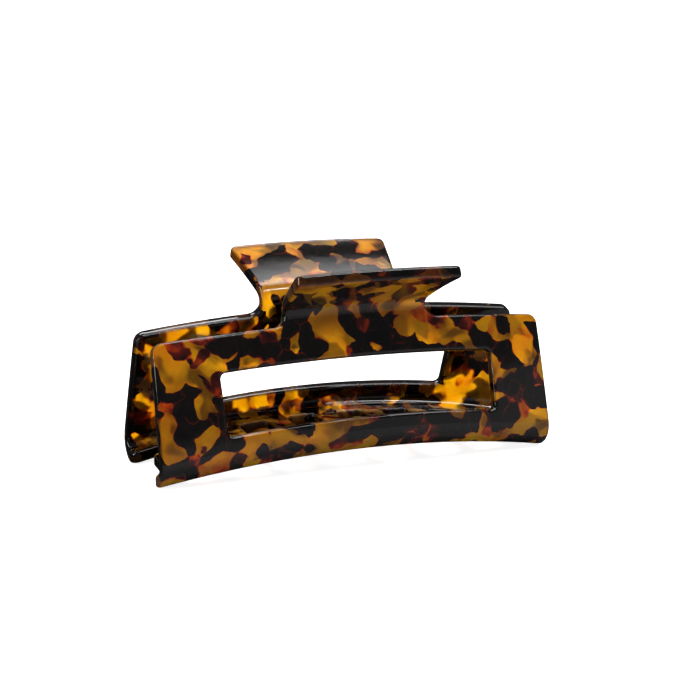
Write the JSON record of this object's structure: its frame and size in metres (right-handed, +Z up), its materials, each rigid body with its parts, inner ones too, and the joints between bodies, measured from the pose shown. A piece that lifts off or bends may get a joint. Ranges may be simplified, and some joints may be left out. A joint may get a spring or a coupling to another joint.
{
  "type": "hair claw clip",
  "caption": "Rectangular hair claw clip: two mirrored tortoiseshell jaws with open windows and interlocking teeth, flared handles and a sprung steel hinge pin.",
  "frame": {"origin": "middle of the clip, on the surface that it stands on with its jaws closed", "axes": "+X along the clip, -Y towards the front jaw, +Y towards the rear jaw, +Z up towards the handles"},
  "size_m": [0.105, 0.0492, 0.052],
  "materials": {
    "jaw_acetate": "polished tortoiseshell, amber with dark brown patches",
    "knuckle_acetate": "polished dark brown",
    "pin_steel": "bright turned steel",
    "spring_steel": "drawn spring wire"
  },
  "bodies": {
    "front": {"front_jaw": "jaw_acetate", "front_knuckle_left": "knuckle_acetate", "front_knuckle_right": "knuckle_acetate", "hinge_pin": "pin_steel", "torsion_spring": "spring_steel"},
    "rear": {"rear_jaw": "jaw_acetate", "rear_knuckle_left": "knuckle_acetate", "rear_knuckle_right": "knuckle_acetate"}
  },
  "joints": [
    {"name": "jaw_hinge", "type": "hinge", "parent": "front", "child": "rear", "pos_m": [0, 0, 0.0352], "axis": [1, 0, 0], "range_deg": [0, 75], "stiffness_Nm_per_rad": 0.13, "springref_deg": -45.84, "deforming": ["torsion_spring"]}
  ]
}
